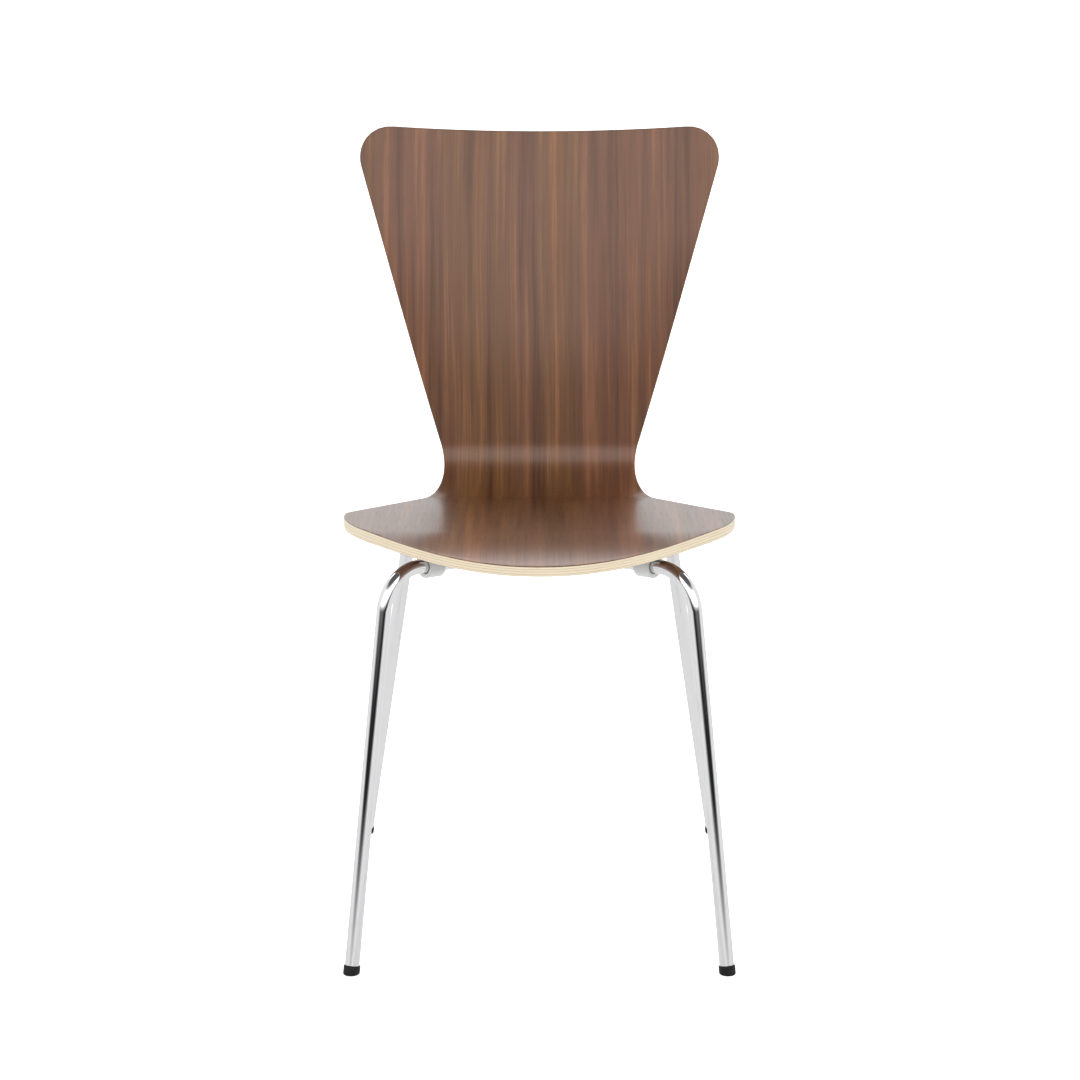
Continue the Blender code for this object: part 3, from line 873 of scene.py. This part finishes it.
def turnedProfile(work, profile, sides):
    angles = [2 * math.pi * side / sides for side in range(sides)]
    rings = []
    for radius, height in profile:
        onAxis = radius < 1e-6
        places = [(0, 0)] if onAxis else [(radius * math.cos(a), radius * math.sin(a)) for a in angles]
        rings.append([work.verts.new((x, y, height)) for x, y in places])
    for ring, nextRing in zip(rings, rings[1:]):
        for side in range(sides):
            after = (side + 1) % sides
            corners = [
                ring[side % len(ring)],
                nextRing[side % len(nextRing)],
                nextRing[after % len(nextRing)],
                ring[after % len(ring)],
            ]
            work.faces.new([corner for index, corner in enumerate(corners) if corner not in corners[:index]])


def buildFootCap(name, foot, axis):
    cap = capSizes
    plug = tubeSizes["diameter"] / 2 - tubeSizes["wall"] - baseSizes["contactGap"]
    collar = tubeSizes["diameter"] / 2 + cap["overhang"]
    top = cap["height"] + cap["plugLength"]
    roundCentre = (collar - cap["collarRound"], cap["height"] - cap["collarRound"])
    taper = cap["plugTaper"]
    profile = [(0, top), (plug - taper, top), (plug, top - taper), (plug, cap["height"])]
    profile += arcPoints(cap["collarRound"], upright, 0, 5, roundCentre)
    profile += [(collar, -cap["belowFloor"]), (0, -cap["belowFloor"])]
    work = bmesh.new()
    turnedProfile(work, profile, cap["sides"])
    placed = Matrix.Translation(foot) @ axis.to_track_quat("Z", "Y").to_matrix().to_4x4()
    bmesh.ops.transform(work, matrix=placed, verts=work.verts)
    everything = work.verts[:] + work.edges[:] + work.faces[:]
    sliced = bmesh.ops.bisect_plane(
        work, geom=everything, plane_co=(0, 0, 0), plane_no=(0, 0, 1), clear_inner=True)
    rim = [item for item in sliced["geom_cut"] if isinstance(item, bmesh.types.BMEdge)]
    bmesh.ops.holes_fill(work, edges=rim, sides=0)
    bmesh.ops.bevel(
        work, geom=rim, offset=cap["floorRound"], segments=4, affect="EDGES", profile=0.5)
    bmesh.ops.recalc_face_normals(work, faces=work.faces)
    made = objectFrom(name, work, (blackPlastic,))
    made.data.set_sharp_from_angle(angle=math.radians(50))
    return made


for label in ("front", "rear"):
    corner, foot, axis = legLine(tubeSizes[label])
    for hand, flip in (("left", mirrorX), ("right", Matrix())):
        cap = buildFootCap("tube_end_cap_" + label + "_" + hand, flip @ foot, (flip @ axis).normalized())
        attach(cap, "root")
        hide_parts("foot_cap_" + label + "_" + hand)
print("foot caps built")


# ---- stacking spacers: open clips round the tubes, their lips up against the shell

spacerSizes = dict(
    wall=0.0047,
    length=0.020,
    setback=0.0618,
    mouth=0.011,
    topGap=0.0007,
    boreGap=0.0008,
    edgeRound=0.0007,
    arcSteps=36,
    steps=40,
)


def seatUnderside(across, along):
    under = shellPoint(across, size["baseDistance"] + along, -1)
    return (baseMatrix.inverted() @ under).z


def evenPoints(points, steps):
    return resample([Vector((x, y)) for x, y in points], steps)


def buildSpacer(name, direction, distance):
    spacer = spacerSizes
    inner = tubeSizes["diameter"] / 2 + spacer["boreGap"]
    outer = inner + spacer["wall"]
    top = tubeDrop - spacer["topGap"]
    mouthAngle = math.acos(spacer["mouth"] / 2 / inner)
    lip = inner * math.sin(mouthAngle)
    outerLine = [(-outer, top)] + arcPoints(outer, math.pi, 2 * math.pi, spacer["arcSteps"]) + [(outer, top)]
    innerLine = [(-spacer["mouth"] / 2, top), (-spacer["mouth"] / 2, lip)]
    bore = arcPoints(inner, math.pi - mouthAngle, 2 * math.pi + mouthAngle, spacer["arcSteps"])
    innerLine += bore[1:]
    innerLine.append((spacer["mouth"] / 2, top))
    up = Vector((0, 0, 1))
    across = up.cross(direction)
    turn = Matrix((across, up, direction)).transposed().to_4x4()
    placed = Matrix.Translation(direction * distance + Vector((0, 0, -tubeDrop))) @ turn
    work = bmesh.new()
    ends = []
    for end in (-1, 1):
        lines = []
        for line in (outerLine, innerLine):
            row = []
            for point in evenPoints(line, spacer["steps"]):
                local = placed @ Vector((point.x, point.y, end * spacer["length"] / 2))
                if point.y > top - 1e-5:  # the ends of the lips follow the shell
                    local.z += seatUnderside(local.x, local.y)
                row.append(work.verts.new(baseMatrix @ local))
            lines.append(row)
        ends.append(lines)
    (outerBack, innerBack), (outerFront, innerFront) = ends
    bridge(work, outerBack, outerFront, closed=False)
    bridge(work, innerFront, innerBack, closed=False)
    bridge(work, innerBack, outerBack, closed=False)
    bridge(work, outerFront, innerFront, closed=False)
    for index in (0, -1):
        work.faces.new((outerBack[index], outerFront[index], innerFront[index], innerBack[index]))
    bmesh.ops.recalc_face_normals(work, faces=work.faces)
    made = objectFrom(name, work, (whitePlastic,))
    ease = made.modifiers.new("eased edges", "BEVEL")
    ease.width = spacer["edgeRound"]
    ease.segments = 3
    ease.limit_method = "ANGLE"
    ease.angle_limit = math.radians(50)
    applyModifiers(made)
    made.data.set_sharp_from_angle(angle=math.radians(40))
    return made


for label in ("front", "rear"):
    leg = tubeSizes[label]
    for hand, x in (("left", -1), ("right", 1)):
        run = Vector((x * leg["spacing"] / 2, leg["side"] * leg["setback"], 0))
        name = label + "_" + hand
        spacer = buildSpacer("tube_clip_" + name, run.normalized(), run.length - spacerSizes["setback"])
        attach(spacer, "root")
        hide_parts("stacking_spacer_" + name)
print("spacers built")


# ---- CAD pieces that stay get their finish

keptFinishes = dict(
    mounting_plate=blackPaint,
    base_cover=blackPlastic,
    shell_pad=blackRubber,
    mounting_screw=zinc,
    screw_washer=zinc,
    threaded_insert=zinc,
)
for name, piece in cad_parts.items():
    for start, finish in keptFinishes.items():
        if name.startswith(start):
            for slot in piece.material_slots:
                slot.material = finish
print("kept pieces finished")


# ---- floor, light and camera

def buildFloor():
    values = dict(radius=40.0, colour=(0.86, 0.86, 0.86), glow=0.05, lift=0.70)
    work = bmesh.new()
    bmesh.ops.create_circle(work, cap_ends=True, segments=64, radius=values["radius"])
    material, tree, shader = newMaterial("pale floor", {"Roughness": 0.9, "Specular IOR Level": 0.0})
    shader.inputs["Base Color"].default_value = (*values["colour"], 1.0)
    shader.inputs["Emission Color"].default_value = (1.0, 1.0, 1.0, 1.0)
    seen = addNode(tree, "ShaderNodeLightPath").outputs["Is Camera Ray"]
    strength = mathNode(tree, "MULTIPLY_ADD", seen, values["lift"], values["glow"])
    tree.links.new(strength, shader.inputs["Emission Strength"])
    # seen from underneath, the floor is clear
    behind = addNode(tree, "ShaderNodeNewGeometry").outputs["Backfacing"]
    clear = addNode(tree, "ShaderNodeBsdfTransparent").outputs[0]
    inputs = {0: behind, 1: shader.outputs[0], 2: clear}
    surface = addNode(tree, "ShaderNodeMixShader", inputs).outputs[0]
    tree.links.new(surface, tree.nodes["Material Output"].inputs["Surface"])
    made = objectFrom("pale_floor", work, (material,))


def buildSurround():
    # a white studio with a dim strip of room behind the camera, and soft boxes in front and behind
    values = dict(
        walls=0.97,
        ceiling=dict(
            strength=0.12,
            low=math.radians(40.0),
            high=math.radians(60.0),
        ),
        room=dict(
            strength=0.02,
            halfWidth=math.radians(64.0),
            low=math.radians(2.0),
            high=math.radians(12.0),
        ),
        frontBox=dict(
            strength=2.2,
            halfWidth=math.radians(60.0),
            low=math.radians(17.0),
            high=math.radians(46.0),
        ),
        rearBox=dict(
            strength=5.2,
            halfWidth=math.radians(50.0),
            low=math.radians(41.5),
            high=math.radians(52.0),
        ),
        edge=math.radians(6.0),
        sideEdge=math.radians(20.0),
        backdrop=1.05,
    )
    world = bpy.data.worlds.new("studio surround")
    bpy.context.scene.world = world
    world.use_nodes = True
    tree = world.node_tree
    background = tree.nodes["Background"]
    ray = addNode(tree, "ShaderNodeTexCoord").outputs["Generated"]
    parts = addNode(tree, "ShaderNodeSeparateXYZ", {0: ray}).outputs
    toFront = mathNode(tree, "MULTIPLY", parts["Y"], -1.0)
    offFront = mathNode(tree, "ABSOLUTE", mathNode(tree, "ARCTAN2", parts["X"], toFront))
    offRear = mathNode(tree, "ABSOLUTE", mathNode(tree, "ARCTAN2", parts["X"], parts["Y"]))
    elevation = mathNode(tree, "ARCSINE", parts["Z"])

    def addPatch(light, offAxis, patch):
        edge, sideEdge = values["edge"], values["sideEdge"]
        halfWidth, low, high = patch["halfWidth"], patch["low"], patch["high"]
        inside = remap(tree, offAxis, halfWidth + sideEdge, halfWidth - sideEdge, smooth=True)
        above = remap(tree, elevation, low - edge / 2, low + edge / 2, smooth=True)
        under = remap(tree, elevation, high + edge, high - edge, smooth=True)
        share = mathNode(tree, "MULTIPLY", inside, mathNode(tree, "MULTIPLY", above, under))
        return mixValue(tree, share, light, patch["strength"])

    # walls up to a dimmer ceiling, then the two soft boxes, then the room
    ceiling = values["ceiling"]
    low, high = ceiling["low"], ceiling["high"]
    light = remap(tree, elevation, low, high, values["walls"], ceiling["strength"], smooth=True)
    light = addPatch(light, offFront, values["frontBox"])
    light = addPatch(light, offRear, values["rearBox"])
    light = addPatch(light, offFront, values["room"])
    seen = addNode(tree, "ShaderNodeLightPath").outputs["Is Camera Ray"]
    strength = mixValue(tree, seen, light, values["backdrop"])
    tree.links.new(strength, background.inputs["Strength"])
    background.inputs["Color"].default_value = (1.0, 1.0, 1.0, 1.0)


def buildCamera():
    values = dict(lens=98.7, distance=3.247, height=1.203, tilt=math.radians(13.42), side=0.0006)
    data = bpy.data.cameras.new("camera")
    data.lens = values["lens"]
    data.sensor_width = 36.0
    camera = bpy.data.objects.new("camera", data)
    bpy.context.scene.collection.objects.link(camera)
    camera.location = (values["side"], hub.y - values["distance"], values["height"])
    camera.rotation_euler = (upright - values["tilt"], 0, 0)
    bpy.context.scene.camera = camera


buildFloor()
buildSurround()
buildCamera()
bpy.context.scene.view_settings.view_transform = "Standard"
bpy.context.view_layer.update()
print("floor, light and camera set")
